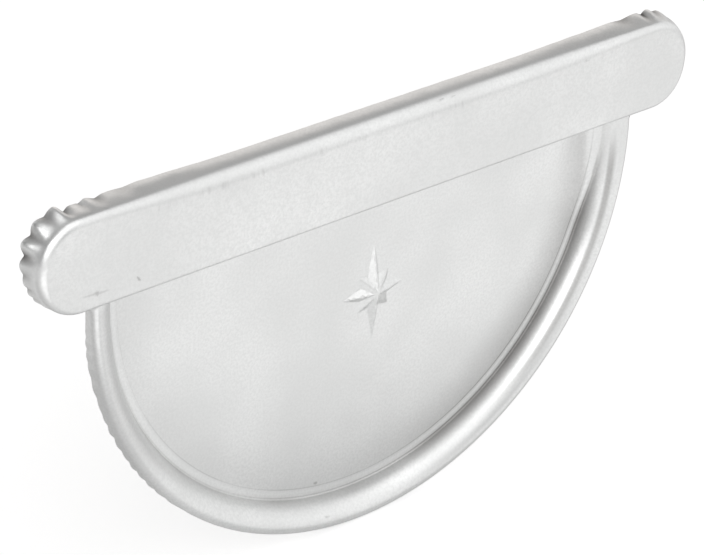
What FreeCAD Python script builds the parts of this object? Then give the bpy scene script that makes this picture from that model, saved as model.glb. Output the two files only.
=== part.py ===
import FreeCAD, Part
import math
import os
import re

import Sketcher

# A pressed sheet-steel end cap for a half-round gutter, in millimetres. X runs along the
# band, -Y faces away from the gutter and Z is up. The origin is the centre of the
# half-round, on the back face of the flat field.

os.makedirs("parts", exist_ok=True)
doc = FreeCAD.newDocument("gutter_end_cap")

DIMENSIONS = {
    "sheet_thickness": 0.6,
    # Half-round: outside radius of its rim, and the straight sides above its centre
    "rim_radius": 79.0,
    "side_height": 2.7,
    # Band: a stadium-shaped pan across the top, whose ears overhang the half-round unevenly
    "band_height": 22.8,
    "ear_overhang": 15.45,
    "band_shift": 0.7,
    "band_bend": 3.0,
    # Distances in front of the field's back face, and of the ridge behind the band's front
    "band_front": 7.6,
    "flange_end": 1.9,
    "ridge_setback": 1.6,
    # Section of the ridge round the half-round, a bead that swells out of the field
    "ridge_width": 7.15,
    "crest_radius": 1.6,
    "wall_radius": 7.0,
    "foot_radius": 0.5,
    "coin_width": 2.05,
    "coin_rise": 0.15,
    "fold_radius": 0.45,
    # Stamped eight-pointed star
    "star_offset": 3.2,
    "star_drop": 22.5,
    "star_reach_up": 11.0,
    "star_reach_side": 8.6,
    "star_reach_short": 6.4,
    "star_waist": 3.7,
    "star_height": 1.7,
    # Crimps that gather the flange round each ear, up to a margin from the ends of its arc
    "ear_crimps": 9,
    "ear_crimp_margin": 2.0,
    "ear_crimp_radius": 1.7,
    "ear_crimp_proud": 1.5,
    # Shallow crimps in the flange of the half-round, up to a margin from the band
    "rim_crimps": 29,
    "rim_crimp_margin": 8.0,
    "rim_crimp_radius": 1.4,
    "rim_crimp_proud": 0.35,
}

# Shared formulas on those dimensions
LEFT_EAR_X = "(band_shift - rim_radius - ear_overhang + band_height / 2)"
RIGHT_EAR_X = "(band_shift + rim_radius + ear_overhang - band_height / 2)"
EAR_Z = "(side_height + band_height / 2)"
EAR_FLANGE = "(band_front - band_bend - flange_end)"
RIDGE_FRONT = "(band_front - ridge_setback)"
RIM_FLANGE = "(band_front - ridge_setback - crest_radius - flange_end)"
FOOT_RING = "(rim_radius - ridge_width)"
COIN_RING = "(rim_radius - ridge_width - coin_width)"
TRIM_RING = "(rim_radius - crest_radius - sheet_thickness)"
# The sheet starts as a block that reaches behind the field, which is then hollowed
BLANK_BACK = "(2 * sheet_thickness)"
INSIDE_DEPTH = "band_front - ridge_setback + " + BLANK_BACK
# The fold stays inside the foot that it follows
FOLD = "min(fold_radius; foot_radius * 0.9)"

# Sketch words: ends and centre of an element, the origin point and the two axes
START, END, CENTRE = range(1, 4)
HORIZONTAL_AXIS, VERTICAL_AXIS = range(-1, -3, -1)
ROOT = (HORIZONTAL_AXIS, START)
NORMAL = FreeCAD.Vector(0, 0, 1)
NEAR = 1e-4
TOWARDS_GUTTER = FreeCAD.Rotation(FreeCAD.Vector(1, 0, 0), -90)

STAR_CORNERS = 16
STAR_REACHES = [
    "star_reach_side", "star_waist", "star_reach_short", "star_waist",
    "star_reach_up", "star_waist", "star_reach_short", "star_waist",
]
STAR_SUMMIT = 0.03

SHEET = "Dimensions"
sheet = doc.addObject("Spreadsheet::Sheet", SHEET)
for row, (alias, value) in enumerate(DIMENSIONS.items(), start=1):
    sheet.set("A%d" % row, alias)
    sheet.set("B%d" % row, str(value))
    sheet.setAlias("B%d" % row, alias)
doc.recompute()


def bind(formula):
    """Formula whose dimension names point at the sheet."""
    def point(match):
        word = match.group()
        return "%s.%s" % (SHEET, word) if word in DIMENSIONS else word

    return re.sub("[a-z_]+", point, formula)


def size(formula):
    """Present value of a formula on the dimensions."""
    return float(sheet.evalExpression(bind(formula)))


def vector(x, y):
    """Point of a sketch."""
    return FreeCAD.Vector(x, y, 0)


def polar(radius, degrees):
    """Point of a sketch at a radius and an angle from its first axis."""
    turn = math.radians(degrees)
    return vector(radius * math.cos(turn), radius * math.sin(turn))


def origin_plane(body, role):
    """One of a body's own origin planes."""
    return next(item for item in body.Origin.OriginFeatures if item.Role == role)


def add_sketch(body, name, role, forward="0", across="0", up="0"):
    """Empty sketch on an origin plane, moved along its normal and in its plane by formulas."""
    sketch = body.newObject("Sketcher::SketchObject", name)
    sketch.AttachmentSupport = (origin_plane(body, role), [""])
    sketch.MapMode = "FlatFace"
    for axis, formula in (("x", across), ("y", up), ("z", forward)):
        sketch.setExpression("AttachmentOffset.Base." + axis, bind(formula))
    return sketch


def add_feature(body, kind, name, **settings):
    """Feature of a body, set up and made its tip."""
    feature = body.newObject("PartDesign::" + kind, name)
    for key, value in settings.items():
        setattr(feature, key, value)
    body.Tip = feature
    return feature


def hold(item, **formulas):
    """Bind an object's sizes to formulas on the sheet and rebuild."""
    for name, formula in formulas.items():
        item.setExpression(name, bind(formula))
    doc.recompute()
    return item


def constrain(sketch, kind, *items):
    """Geometric constraint between elements of a sketch."""
    sketch.addConstraint(Sketcher.Constraint(kind, *items))


def measure(sketch, kind, items, formula):
    """Dimension of a sketch, held to a formula on the sheet."""
    index = sketch.addConstraint(Sketcher.Constraint(kind, *items, size(formula)))
    sketch.setExpression("Constraints[%d]" % index, bind(formula))


def fix_point(sketch, item, x_formula, y_formula):
    """Hold one point of a sketch at two formulas measured from the sketch's origin."""
    placings = (("DistanceX", x_formula, VERTICAL_AXIS), ("DistanceY", y_formula, HORIZONTAL_AXIS))
    for kind, formula, axis in placings:
        if formula == "0":
            constrain(sketch, "PointOnObject", *item, axis)
        elif size(formula) > 0:
            measure(sketch, kind, (*ROOT, *item), formula)
        else:
            measure(sketch, kind, (*item, *ROOT), "-(%s)" % formula)


def add_line(sketch, first, last):
    """Straight stretch of a sketch."""
    return sketch.addGeometry(Part.LineSegment(first, last))


def add_arc(sketch, centre, radius, first_turn, last_turn):
    """Round stretch of a sketch, anticlockwise between two angles in radians."""
    return sketch.addGeometry(Part.ArcOfCircle(Part.Circle(centre, NORMAL, radius), first_turn, last_turn))


def bearing(start, end):
    """Angle in radians from one point of a sketch to another."""
    return math.atan2(end.y - start.y, end.x - start.x) % (2 * math.pi)


def meeting(first, first_reach, last, last_reach):
    """Point to the left of the way between two others, at a distance from each."""
    span = last - first
    along = (span.Length ** 2 + first_reach ** 2 - last_reach ** 2) / (2 * span.Length)
    aside = math.sqrt(first_reach ** 2 - along ** 2)
    return first + (span * along + vector(-span.y, span.x) * aside) / span.Length


def closed_outline(sketch, points):
    """Closed polygon through points, with its corners joined."""
    sides = [add_line(sketch, first, last) for first, last in zip(points, points[1:] + points[:1])]
    for side, following in zip(sides, sides[1:] + sides[:1]):
        constrain(sketch, "Coincident", side, END, following, START)
    return sides


def ridge_section(sketch):
    """Half of the filled section: field, coined ring, foot, round wall, crest and flange."""
    radius, front, back = size("rim_radius"), -size("sheet_thickness"), size(BLANK_BACK)
    crest, bulge, foot = size("crest_radius"), size("wall_radius"), size("foot_radius")
    ring = size(COIN_RING)
    foot_centre = vector(size(FOOT_RING), front - size("coin_rise") - foot)
    crest_centre = vector(radius - crest, crest - size(RIDGE_FRONT))
    wall_centre = meeting(foot_centre, bulge + foot, crest_centre, bulge - crest)
    crest_turn = bearing(wall_centre, crest_centre)
    field = add_line(sketch, vector(0, front), vector(ring, front))
    coin = add_line(sketch, vector(ring, front), foot_centre + vector(0, foot))
    hollow = add_arc(sketch, foot_centre, foot, bearing(foot_centre, wall_centre), math.pi / 2)
    wall = add_arc(sketch, wall_centre, bulge, bearing(wall_centre, foot_centre), crest_turn)
    ridge = add_arc(sketch, crest_centre, crest, crest_turn, 2 * math.pi)
    flange = add_line(sketch, vector(radius, crest_centre.y), vector(radius, back))
    rear = add_line(sketch, vector(radius, back), vector(0, back))
    axis = add_line(sketch, vector(0, back), vector(0, front))
    constrain(sketch, "Coincident", field, END, coin, START)
    constrain(sketch, "Tangent", coin, END, hollow, END)
    constrain(sketch, "Tangent", hollow, START, wall, START)
    constrain(sketch, "Tangent", wall, END, ridge, START)
    constrain(sketch, "Tangent", ridge, END, flange, START)
    constrain(sketch, "Coincident", flange, END, rear, START)
    constrain(sketch, "Coincident", rear, END, axis, START)
    constrain(sketch, "Coincident", axis, END, field, START)
    constrain(sketch, "Horizontal", field)
    constrain(sketch, "Vertical", flange)
    constrain(sketch, "Horizontal", rear)
    constrain(sketch, "PointOnObject", field, START, VERTICAL_AXIS)
    constrain(sketch, "PointOnObject", axis, START, VERTICAL_AXIS)
    measure(sketch, "DistanceY", (field, START, *ROOT), "sheet_thickness")
    measure(sketch, "DistanceX", (*ROOT, field, END), COIN_RING)
    measure(sketch, "DistanceY", (coin, END, coin, START), "coin_rise")
    measure(sketch, "DistanceX", (*ROOT, hollow, CENTRE), FOOT_RING)
    measure(sketch, "Radius", (hollow,), "foot_radius")
    measure(sketch, "Radius", (wall,), "wall_radius")
    measure(sketch, "Radius", (ridge,), "crest_radius")
    measure(sketch, "DistanceX", (*ROOT, flange, START), "rim_radius")
    measure(sketch, "DistanceY", (ridge, CENTRE, *ROOT), RIDGE_FRONT + " - crest_radius")
    measure(sketch, "DistanceY", (*ROOT, rear, START), BLANK_BACK)


def stadium(sketch, inset):
    """Outline of the band, straight above and below with round ears, inset all round."""
    first, last, middle = size(LEFT_EAR_X), size(RIGHT_EAR_X), size(EAR_Z)
    radius = size("band_height / 2 - %s" % inset)
    top = add_line(sketch, vector(last, middle + radius), vector(first, middle + radius))
    left = add_arc(sketch, vector(first, middle), radius, math.pi / 2, 1.5 * math.pi)
    bottom = add_line(sketch, vector(first, middle - radius), vector(last, middle - radius))
    right = add_arc(sketch, vector(last, middle), radius, -math.pi / 2, math.pi / 2)
    ring = [top, left, bottom, right]
    for side, following in zip(ring, ring[1:] + ring[:1]):
        constrain(sketch, "Tangent", side, END, following, START)
    measure(sketch, "DistanceY", (*ROOT, bottom, START), "side_height + %s" % inset)
    measure(sketch, "Radius", (right,), "band_height / 2 - %s" % inset)
    measure(sketch, "DistanceX", (bottom, START, *ROOT), "-" + LEFT_EAR_X)
    measure(sketch, "DistanceX", (*ROOT, bottom, END), RIGHT_EAR_X)


def trim_outline(sketch):
    """Everything outside a half-round that runs along the middle of the ridge's hollow."""
    reach_formula = "(2 * rim_radius + 2 * ear_overhang)"
    reach, radius, top = size(reach_formula), size(TRIM_RING), size("side_height + " + BLANK_BACK)
    corners = [vector(reach, reach), vector(-reach, reach), vector(-reach, -reach), vector(reach, -reach)]
    frame = closed_outline(sketch, corners)
    for edge, direction in zip(frame, ("Horizontal", "Vertical") * 2):
        constrain(sketch, direction, edge)
    fix_point(sketch, (frame[0], START), reach_formula, reach_formula)
    fix_point(sketch, (frame[2], START), "-" + reach_formula, "-" + reach_formula)
    arc = add_arc(sketch, vector(0, 0), radius, math.pi, 2 * math.pi)
    right = add_line(sketch, vector(radius, 0), vector(radius, top))
    roof = add_line(sketch, vector(radius, top), vector(-radius, top))
    left = add_line(sketch, vector(-radius, top), vector(-radius, 0))
    constrain(sketch, "Coincident", arc, CENTRE, *ROOT)
    constrain(sketch, "PointOnObject", arc, END, HORIZONTAL_AXIS)
    constrain(sketch, "Tangent", arc, END, right, START)
    constrain(sketch, "Coincident", right, END, roof, START)
    constrain(sketch, "Coincident", roof, END, left, START)
    constrain(sketch, "Tangent", left, END, arc, START)
    constrain(sketch, "Horizontal", roof)
    measure(sketch, "Radius", (arc,), TRIM_RING)
    measure(sketch, "DistanceY", (*ROOT, roof, START), "side_height + " + BLANK_BACK)


def star_outline(sketch, share):
    """Eight-pointed star about the sketch's origin, drawn at a share of its full size."""
    points, formulas = [], []
    for corner in range(STAR_CORNERS):
        direction = polar(1.0, 360.0 * corner / STAR_CORNERS)
        reach = STAR_REACHES[corner % len(STAR_REACHES)]
        parts = [round(part, 6) for part in (direction.x, direction.y)]
        points.append(direction * size(reach) * share)
        formulas.append(["%g * %s" % (part * share, reach) if part else "0" for part in parts])
    for side, (x_formula, y_formula) in zip(closed_outline(sketch, points), formulas):
        fix_point(sketch, (side, START), x_formula, y_formula)


def junction_edges(shape):
    """Names of the edges where the half-round meets the underside of the band and its bend."""
    low, high = size("side_height"), size("side_height + band_bend")
    bend_end = size("band_bend - band_front")
    names = []
    for index, edge in enumerate(shape.Edges, start=1):
        box = edge.BoundBox
        level = low - NEAR < box.ZMin and box.ZMax < high - NEAR
        within = max(-box.XMin, box.XMax) < size("rim_radius") + NEAR
        smooth = max(abs(box.YMin - bend_end), abs(box.YMax - bend_end)) < NEAR
        if level and within and not smooth:
            names.append("Edge%d" % index)
    return names


def spread(count, reach):
    """Even angles from a reach below zero to the same reach above."""
    return [reach * (2 * step / (count - 1) - 1) for step in range(count)]


def crimp_places():
    """Kind and centre of every crimp: round both ears, then round the half-round."""
    places = []
    middle = size(EAR_Z)
    ring = size("band_height / 2 + ear_crimp_proud - ear_crimp_radius")
    margin = math.degrees(size("2 * ear_crimp_margin / band_height"))
    for turn in spread(int(size("ear_crimps")), 90 - margin):
        out = polar(ring, turn)
        places.append(("ear_crimp", vector(size(RIGHT_EAR_X) + out.x, middle + out.y)))
        places.append(("ear_crimp", vector(size(LEFT_EAR_X) - out.x, middle + out.y)))
    ring = size("rim_radius + rim_crimp_proud - rim_crimp_radius")
    margin = math.degrees(size("max(rim_crimp_margin - side_height; 0) / rim_radius"))
    for turn in spread(int(size("rim_crimps")), 90 - margin):
        places.append(("rim_crimp", polar(ring, turn - 90)))
    return places


def crimp_cones(name, places, layers):
    """Cones that swell towards the flanges' free edge, some sheet layers inside the full crimp."""
    cones = []
    for index, (kind, centre) in enumerate(places):
        run = EAR_FLANGE if kind == "ear_crimp" else RIM_FLANGE
        radius = kind + "_radius"
        slant = "sqrt(%s * %s + %s * %s)" % (radius, radius, run, run)
        length = "(%s - %d * sheet_thickness * %s / %s)" % (run, layers, slant, radius)
        mouth = "%s * %s / %s" % (radius, length, run)
        cone = doc.addObject("Part::Cone", "%s%d" % (name, index))
        for key, formula in (("Radius1", "0"), ("Radius2", mouth), ("Height", length)):
            cone.setExpression(key, bind(formula))
        tip = FreeCAD.Vector(centre.x, -size("flange_end + " + length), centre.y)
        cone.Placement = FreeCAD.Placement(tip, TOWARDS_GUTTER)
        cones.append(cone)
    return cones


def combine(kind, name, **links):
    """Boolean of the document's objects."""
    result = doc.addObject("Part::" + kind, name)
    for key, value in links.items():
        setattr(result, key, value)
    return result


# Band across the top, with its front edge bent over a radius all round
pressing = doc.addObject("PartDesign::Body", "Pressing")
outline = add_sketch(pressing, "BandOutline", "XZ_Plane", "-" + BLANK_BACK)
stadium(outline, "0")
band = hold(add_feature(pressing, "Pad", "Band", Profile=outline), Length="band_front + " + BLANK_BACK)
front_edges = [
    "Edge%d" % index
    for index, edge in enumerate(band.Shape.Edges, start=1)
    if edge.BoundBox.YMax < NEAR - size("band_front")
]
hold(add_feature(pressing, "Fillet", "BandBend", Base=(band, front_edges)), Radius="band_bend")

# Half-round: the ridge's section turned about the gutter's axis, with straight sides above
section = add_sketch(pressing, "RidgeSection", "XY_Plane")
ridge_section(section)
half_round = add_feature(pressing, "Revolution", "HalfRound", Profile=section, Angle=180)
half_round.ReferenceAxis = (section, ["V_Axis"])
side = hold(add_feature(pressing, "Pad", "Side", Profile=section), Length=EAR_Z)
both_sides = add_feature(pressing, "Mirrored", "BothSides", Originals=[side])
both_sides.MirrorPlane = (origin_plane(pressing, "YZ_Plane"), [""])
doc.recompute()

# Fold where the half-round runs in under the band, from one flange to the other
fold_edges = junction_edges(both_sides.Shape)
fold = hold(add_feature(pressing, "Fillet", "Fold", Base=(both_sides, fold_edges)), Radius=FOLD)

# The block becomes one sheet, open at the back
back_faces = [
    "Face%d" % index
    for index, face in enumerate(fold.Shape.Faces, start=1)
    if abs(face.BoundBox.YMin - size(BLANK_BACK)) < NEAR
]
skin = add_feature(pressing, "Thickness", "Skin", Base=(fold, back_faces), Reversed=True)
hold(skin, Value="sheet_thickness")

# Flanges are trimmed all round, clear of the field and its wall
trim = add_sketch(pressing, "FlangeTrim", "XZ_Plane", "-" + BLANK_BACK)
trim_outline(trim)
flanges = add_feature(pressing, "Pocket", "Flanges", Profile=trim, Reversed=True)
hold(flanges, Length="flange_end + " + BLANK_BACK)

# Star stamped forward out of the field, hollow behind
stampings = (("AdditiveLoft", "Star", "sheet_thickness"), ("SubtractiveLoft", "StarHollow", "0"))
for kind, name, level in stampings:
    layers = []
    outlines = (("Base", 1.0, level), ("Summit", STAR_SUMMIT, level + " + star_height"))
    for part, share, forward in outlines:
        layer = add_sketch(pressing, name + part, "XZ_Plane", forward, "star_offset", "-star_drop")
        star_outline(layer, share)
        layers.append(layer)
    doc.recompute()
    add_feature(pressing, kind, name, Profile=layers[0], Sections=layers[1:], Ruled=True)
    doc.recompute()

# Space inside the middle of the flanges, so that a crimp only stands out of them
inside_band = doc.addObject("PartDesign::Body", "InsideBand")
inside_outline = add_sketch(inside_band, "InsideOutline", "XZ_Plane", "-" + BLANK_BACK)
stadium(inside_outline, "sheet_thickness / 2")
inside_pad = add_feature(inside_band, "Pad", "InsidePad", Profile=inside_outline)
hold(inside_pad, Length=INSIDE_DEPTH)
inside_round = doc.addObject("Part::Cylinder", "InsideRound")
hold(inside_round, Radius="rim_radius - sheet_thickness / 2", Height=INSIDE_DEPTH)
inside_round.Placement = FreeCAD.Placement(FreeCAD.Vector(0, -size(RIDGE_FRONT), 0), TOWARDS_GUTTER)
inside = combine("MultiFuse", "Inside", Shapes=[inside_band, inside_round])

# Crimped flanges: hollow cones swelling towards the free edge
places = crimp_places()
swells = combine("MultiFuse", "Swells", Shapes=crimp_cones("Swell", places, 0))
outer_swells = combine("Cut", "OuterSwells", Base=swells, Tool=inside)
hollows = combine("MultiFuse", "Hollows", Shapes=crimp_cones("Hollow", places, 1))
crimped = combine("MultiFuse", "Crimped", Shapes=[pressing, outer_swells])
end_cap = combine("Cut", "EndCap", Base=crimped, Tool=hollows)
end_cap.Label = "end_cap"
end_cap.Placement = FreeCAD.Placement()
doc.recompute()

failed = [item.Label for item in doc.Objects if {"Invalid", "Error"} & set(item.State)]
if failed:
    raise RuntimeError("features failed: " + ", ".join(failed))
if flanges.Shape.Volume >= skin.Shape.Volume:
    raise RuntimeError("the flanges were not trimmed")
for piece in [end_cap]:
    if piece.Shape.isNull() or not piece.Shape.isValid() or len(piece.Shape.Solids) != 1:
        raise RuntimeError(piece.Label + " is not one sound solid")
    piece.Shape.exportStep("parts/%s.step" % piece.Label)
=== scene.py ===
"""Looks of the pressed gutter end cap: one zinc-coated sheet with crimped flanges, in a white studio."""

import logging
import math
import random
from bisect import bisect_right
from collections.abc import Callable
from dataclasses import dataclass, field
from enum import Enum

import bmesh
import bpy
from mathutils import Matrix, Vector, noise
from mathutils.geometry import delaunay_2d_cdt


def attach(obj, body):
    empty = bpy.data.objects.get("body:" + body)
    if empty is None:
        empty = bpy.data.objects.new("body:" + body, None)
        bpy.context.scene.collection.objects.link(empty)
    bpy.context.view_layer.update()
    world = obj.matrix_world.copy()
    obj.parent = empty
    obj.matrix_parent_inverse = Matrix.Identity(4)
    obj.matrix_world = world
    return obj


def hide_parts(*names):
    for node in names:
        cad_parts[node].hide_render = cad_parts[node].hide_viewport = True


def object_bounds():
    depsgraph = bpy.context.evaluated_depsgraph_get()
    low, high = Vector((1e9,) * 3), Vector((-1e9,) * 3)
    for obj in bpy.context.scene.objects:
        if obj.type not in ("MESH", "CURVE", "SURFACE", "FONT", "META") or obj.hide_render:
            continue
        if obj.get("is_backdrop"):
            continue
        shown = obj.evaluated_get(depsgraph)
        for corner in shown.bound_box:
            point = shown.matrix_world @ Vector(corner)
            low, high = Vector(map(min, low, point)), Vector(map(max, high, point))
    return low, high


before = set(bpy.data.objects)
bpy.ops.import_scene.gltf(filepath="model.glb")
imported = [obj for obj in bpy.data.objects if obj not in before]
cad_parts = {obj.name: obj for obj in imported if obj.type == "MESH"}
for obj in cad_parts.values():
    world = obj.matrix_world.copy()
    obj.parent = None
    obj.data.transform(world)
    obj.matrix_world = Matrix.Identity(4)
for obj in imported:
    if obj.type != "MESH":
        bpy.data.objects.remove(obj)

logging.basicConfig(level=logging.INFO, format="%(message)s")
log = logging.getLogger("end_cap")

NODE = "end_cap"
BODY = "root"
MM = 0.001
# Points of the sheet that are closer than this, or agree to so many digits of a metre, are one point
WELD = 0.001 * MM
WELD_DIGITS = 7
# Part of a noise's range that is spread from 0 to 1
NOISE_RANGE = (0.3, 0.7)
# Rays and notches of the star together
STAR_CORNERS = 16
FLOAT, VECTOR = "NodeSocketFloat", "NodeSocketVector"
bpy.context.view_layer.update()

# Two places or values between which something goes from none to full
Span = tuple[float, float]


def part_of(value: float, low: float, high: float) -> float:
    """How far a value has come from low to high, held between 0 and 1."""
    return min(1.0, max(0.0, (value - low) / (high - low)))


def smooth_part(value: float, low: float, high: float) -> float:
    """How far a value has come from low to high, with soft ends."""
    part = part_of(value, low, high)
    return part * part * (3 - 2 * part)


def grey(level: float) -> tuple[float, ...]:
    """Plain grey of one level, as a colour."""
    return (level, level, level, 1.0)


def add_object(name: str, data: bpy.types.ID) -> bpy.types.Object:
    """Add an object to the scene.

    Args:
        name: the object's name.
        data: its mesh, camera or light.

    Returns:
        The new object.
    """
    made = bpy.data.objects.new(name, data)
    bpy.context.scene.collection.objects.link(made)
    return made


def plain_mesh(carrier: bpy.types.Object) -> bpy.types.Mesh:
    """Take an object out of the scene and keep its mesh as its modifiers leave it.

    Args:
        carrier: the object with its modifiers.

    Returns:
        The plain mesh.
    """
    bpy.context.view_layer.update()
    graph = bpy.context.evaluated_depsgraph_get()
    mesh = bpy.data.meshes.new_from_object(carrier.evaluated_get(graph), depsgraph=graph)
    bpy.data.objects.remove(carrier)
    return mesh


class Mark(Enum):
    """Values that each point of the sheet carries for its crimps, and for the painted shade in its creases.
    """

    FLARE = "flare"
    FOLD = "fold"
    RISE = "rise"
    DIP = "dip"
    OUTWARD = "outward"
    CREASE_SHADE = "crease_shade"


@dataclass(frozen=True)
class Fold:
    """One gathered fold of a flange.

    Attributes:
        at: place along the flange.
        rise: how far the fold's crest stands out at the free edge.
        dip: how far the valley after it stands out.
    """

    at: float
    rise: float
    dip: float


@dataclass
class Skin:
    """Outer surface of the sheet while it is drawn: welded points, their marks and faces."""

    points: list[Vector] = field(default_factory=list)
    marks: list[dict[Mark, object]] = field(default_factory=list)
    faces: list[tuple[int, ...]] = field(default_factory=list)
    known: dict[tuple[float, ...], int] = field(default_factory=dict)

    def add(self, place: Vector, marks: dict[Mark, object] | None = None) -> int:
        """Add a point, or find the one that is already there.

        Args:
            place: point in the part's frame.
            marks: values that the point carries.

        Returns:
            The point's number.
        """
        key = tuple(round(value, WELD_DIGITS) for value in place)
        if key not in self.known:
            self.known[key] = len(self.points)
            self.points.append(Vector(place))
            self.marks.append(marks or {})
        return self.known[key]

    def face(self, *corners: int) -> None:
        """Add a face, without the corners that fall together.

        Args:
            corners: numbers of its points, in order.
        """
        kept = [corner for index, corner in enumerate(corners) if corner != corners[index - 1]]
        if len(set(kept)) > 2:
            self.faces.append(tuple(kept))

    def grid(self, rows: list[list[int]]) -> None:
        """Join rows of points with four-sided faces.

        Args:
            rows: numbers of the points of each row, all rows equally long.
        """
        for row, following in zip(rows, rows[1:]):
            for step in range(len(row) - 1):
                self.face(row[step], row[step + 1], following[step + 1], following[step])

    def fill(self, outline: list[int], rings: list[list[Vector]], loose: list[Vector],
             level: Callable[[float, float], float]) -> None:
        """Fill an outline in the XZ plane with triangles.

        Args:
            outline: numbers of the points round the outline, in order.
            rings: closed rings of places inside it whose sides become edges.
            loose: further places inside it.
            level: function of x and z that gives the surface's y.
        """
        flat = [Vector((self.points[index].x, self.points[index].z)) for index in outline]
        sides = [(step, (step + 1) % len(outline)) for step in range(len(outline))]
        for ring in rings:
            first = len(flat)
            flat.extend(Vector((place.x, place.z)) for place in ring)
            sides.extend((first + step, first + (step + 1) % len(ring)) for step in range(len(ring)))
        flat.extend(Vector((place.x, place.z)) for place in loose)
        inside_only, gap = 1, 0.001 * WELD
        places, _, triangles, origins, _, _ = delaunay_2d_cdt(flat, sides, [], inside_only, gap)
        numbers = []
        for place, origin in zip(places, origins):
            edge = [index for index in origin if index < len(outline)]
            if edge:
                numbers.append(outline[edge[0]])
            else:
                numbers.append(self.add(Vector((place.x, level(place.x, place.y), place.y))))
        for triangle in triangles:
            self.face(*(numbers[corner] for corner in triangle))

    def mesh(self, name: str) -> bpy.types.Mesh:
        """Make a mesh of the surface, facing out of the front, with the marks as attributes.

        Args:
            name: the mesh's name.

        Returns:
            The new mesh.
        """
        mesh = bpy.data.meshes.new(name)
        mesh.from_pydata(self.points, [], self.faces)
        for mark in Mark:
            vector = mark is Mark.OUTWARD
            layer = mesh.attributes.new(mark.value, "FLOAT_VECTOR" if vector else "FLOAT", "POINT")
            blank = Vector() if vector else 0.0
            for item, marks in zip(layer.data, self.marks):
                setattr(item, "vector" if vector else "value", marks.get(mark, blank))
        shell = bmesh.new()
        shell.from_mesh(mesh)
        bmesh.ops.remove_doubles(shell, verts=shell.verts, dist=WELD)
        bmesh.ops.recalc_face_normals(shell, faces=shell.faces)
        front = min(shell.faces, key=lambda face: face.calc_center_median().y)
        if front.normal.y > 0:
            bmesh.ops.reverse_faces(shell, faces=shell.faces)
        shell.to_mesh(mesh)
        shell.free()
        return mesh


class NodeBoard:
    """A node tree that is being wired."""

    MIX_FIRST, MIX_SECOND, MIX_RESULT = 6, 7, 2

    def __init__(self, tree: bpy.types.NodeTree) -> None:
        """Start on an empty tree."""
        self.tree = tree
        tree.nodes.clear()

    def add(self, kind: str, inputs: dict | None = None, **settings: object) -> bpy.types.Node:
        """Add a node.

        Args:
            kind: the node's type name.
            inputs: a value or another node's output for each input, by name or number.
            settings: properties of the node.

        Returns:
            The new node.
        """
        node = self.tree.nodes.new(kind)
        for name, value in settings.items():
            setattr(node, name, value)
        for name, value in (inputs or {}).items():
            self.feed(node.inputs[name], value)
        return node

    def feed(self, socket: bpy.types.NodeSocket, value: object) -> None:
        """Link an output to a socket, or set the socket's own value.

        Args:
            socket: the input to feed.
            value: another node's output, or a plain value.
        """
        if isinstance(value, bpy.types.NodeSocket):
            self.tree.links.new(value, socket)
        else:
            socket.default_value = value

    def math(self, operation: str, *values: object, clamp: bool = False) -> bpy.types.NodeSocket:
        """Work out a number from one to three others."""
        node = self.add("ShaderNodeMath", dict(enumerate(values)), operation=operation, use_clamp=clamp)
        return node.outputs[0]

    def vector(self, operation: str, *values: object) -> bpy.types.NodeSocket:
        """Work out a vector from others."""
        node = self.add("ShaderNodeVectorMath", dict(enumerate(values)), operation=operation)
        return node.outputs["Value" if operation in ("DOT_PRODUCT", "LENGTH") else "Vector"]

    def step(self, value: object, low: object, high: object) -> bpy.types.NodeSocket:
        """Rise smoothly from 0 to 1.

        Args:
            value: the number that is looked at.
            low: its value where the rise starts.
            high: its value where the rise ends, which may be the smaller one.

        Returns:
            The risen value.
        """
        node = self.add("ShaderNodeMapRange", {"Value": value, "From Min": low, "From Max": high},
                        interpolation_type="SMOOTHSTEP")
        return node.outputs["Result"]

    def mix(self, factor: object, first: object, second: object) -> bpy.types.NodeSocket:
        """Blend two colours.

        Args:
            factor: share of the second colour.
            first: colour at 0.
            second: colour at 1.

        Returns:
            The blended colour.
        """
        node = self.add("ShaderNodeMix", {"Factor": factor}, data_type="RGBA")
        self.feed(node.inputs[self.MIX_FIRST], first)
        self.feed(node.inputs[self.MIX_SECOND], second)
        return node.outputs[self.MIX_RESULT]

    def socket(self, name: str, kind: str, output: bool = False) -> None:
        """Give a node group a named socket."""
        self.tree.interface.new_socket(name=name, in_out="OUTPUT" if output else "INPUT", socket_type=kind)

    def place(self, group: bpy.types.NodeTree, inputs: dict) -> bpy.types.Node:
        """Place a node group with its own values.

        Args:
            group: the node group.
            inputs: a value or another node's output for each input, by name.

        Returns:
            The node that holds the group.
        """
        node = self.tree.nodes.new(self.tree.bl_idname.replace("Tree", "Group"))
        node.node_tree = group
        for name, value in inputs.items():
            self.feed(node.inputs[name], value)
        return node


def new_material(name: str) -> tuple[bpy.types.Material, NodeBoard]:
    """Start a material.

    Args:
        name: the material's name.

    Returns:
        The new material, and its empty nodes to wire.
    """
    material = bpy.data.materials.new(name)
    material.use_nodes = True
    return material, NodeBoard(material.node_tree)


def grain_group() -> bpy.types.NodeTree:
    """Shared effect: fine crystal grain and broad clouds of a zinc coat.

    Returns:
        The node group, with the outputs Grain and Cloud.
    """
    board = NodeBoard(bpy.data.node_groups.new("zinc_grain", "ShaderNodeTree"))
    board.socket("Vector", VECTOR)
    board.socket("Grain per metre", FLOAT)
    board.socket("Cloud per metre", FLOAT)
    board.socket("Grain", FLOAT, output=True)
    board.socket("Cloud", FLOAT, output=True)
    given = board.add("NodeGroupInput").outputs
    fine = board.add("ShaderNodeTexNoise", {"Vector": given["Vector"], "Scale": given["Grain per metre"],
                                            "Detail": 3.0, "Roughness": 0.65})
    broad = board.add("ShaderNodeTexNoise", {"Vector": given["Vector"], "Scale": given["Cloud per metre"],
                                             "Detail": 2.0, "Roughness": 0.5})
    board.add("NodeGroupOutput", {"Grain": board.step(fine.outputs["Fac"], *NOISE_RANGE),
                                  "Cloud": board.step(broad.outputs["Fac"], *NOISE_RANGE)})
    return board.tree


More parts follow.
